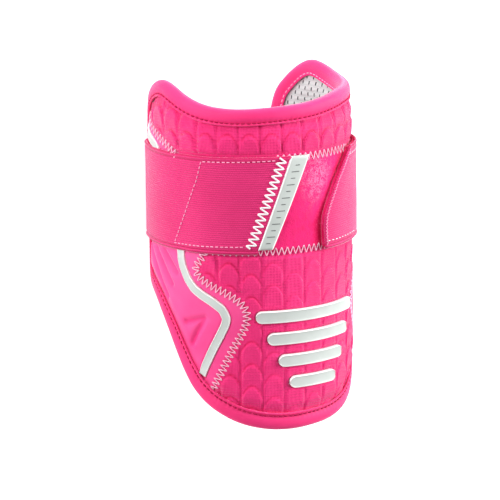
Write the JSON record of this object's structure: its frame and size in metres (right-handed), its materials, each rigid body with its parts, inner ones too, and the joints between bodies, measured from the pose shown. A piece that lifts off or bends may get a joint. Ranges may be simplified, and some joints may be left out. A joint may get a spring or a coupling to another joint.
{
  "type": "elbow guard",
  "caption": "Padded cuff for a batter's elbow, open at the back, with a bound edge, mesh lining, raised front ribs and a wide elastic strap.",
  "frame": {"origin": "centre of the object's footprint, on the surface it lies on, under its strap's flat stretch", "axes": "+Z up, out of the front face; +Y along the arm towards the upper arm; +X to the right of the front seen with +Y up"},
  "size_m": [0.1126, 0.1852, 0.0955],
  "materials": {
    "knit": "embossed pink knit",
    "stretch": "smooth pink stretch fabric",
    "mesh": "pale grey perforated mesh",
    "tape": "smooth pink binding tape",
    "elastic": "ribbed pink woven elastic",
    "pile": "pink brushed pile",
    "rubber": "satin white moulded rubber",
    "label": "pale grey woven label, bare"
  },
  "bodies": {
    "root": {"front_panel": "knit", "left_wing": "stretch", "right_wing": "stretch", "mesh_lining": "mesh", "edge_binding": "tape", "flash_left": "rubber", "flash_right": "rubber", "loop_panel": "pile", "elastic_strap": "elastic", "hook_pad": "pile", "label_tab": "label", "front_rib_1": "rubber", "front_rib_2": "rubber", "front_rib_3": "rubber", "front_rib_4": "rubber"}
  },
  "joints": []
}
